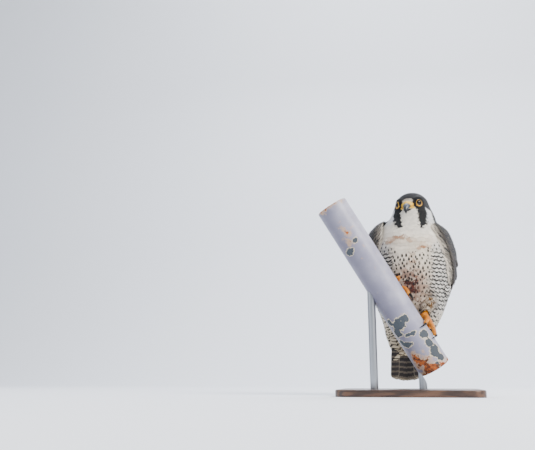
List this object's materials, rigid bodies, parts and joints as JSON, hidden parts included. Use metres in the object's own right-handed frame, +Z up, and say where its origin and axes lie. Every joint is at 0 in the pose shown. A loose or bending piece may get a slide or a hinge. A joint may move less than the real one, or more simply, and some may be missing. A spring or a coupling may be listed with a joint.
{
  "type": "perched peregrine falcon model",
  "caption": "Life-size peregrine falcon standing upright with folded wings on a short slanting painted spar, held by a plain display stand.",
  "frame": {"origin": "centre of the stand base's underside", "axes": "+Z up, the bird faces -Y and its own left side is towards +X"},
  "size_m": [0.2717, 0.208, 0.3708],
  "materials": {
    "head_plumage": "matte slate-black feathers with pale cheeks",
    "breast_plumage": "soft cream feathers with dark spots and bars",
    "barred_plumage": "buff feathers with dark bars",
    "wing_plumage": "slate-grey feathers with pale edges",
    "flight_feathers": "dark smooth feathers with faint bars",
    "yellow_skin": "bare scaled skin, orange-yellow",
    "horn": "smooth blue-grey horn, darker at the tip",
    "claw": "glossy black horn",
    "eye": "very dark brown, wet gloss",
    "spar_paint": "old pale paint, flaked and rusty at the lower end",
    "stand_wood": "dark satin wood",
    "stand_steel": "satin steel"
  },
  "bodies": {
    "root": {"head": "head_plumage", "cere": "yellow_skin", "bill_upper": "horn", "bill_lower": "horn", "eye_left": "eye", "eye_right": "eye", "neck": "breast_plumage", "torso": "breast_plumage", "tail_coverts": "barred_plumage", "tail": "flight_feathers", "wing_left": "wing_plumage", "wing_right": "wing_plumage", "thigh_left": "breast_plumage", "thigh_right": "breast_plumage", "tarsus_left": "yellow_skin", "tarsus_right": "yellow_skin", "foot_left": "yellow_skin", "foot_right": "yellow_skin", "claw_left_hind": "claw", "claw_left_inner": "claw", "claw_left_middle": "claw", "claw_left_outer": "claw", "claw_right_hind": "claw", "claw_right_inner": "claw", "claw_right_middle": "claw", "claw_right_outer": "claw", "perch_spar": "spar_paint", "stand_base": "stand_wood", "stand_rod_front": "stand_steel", "stand_rod_back": "stand_steel"}
  },
  "joints": []
}
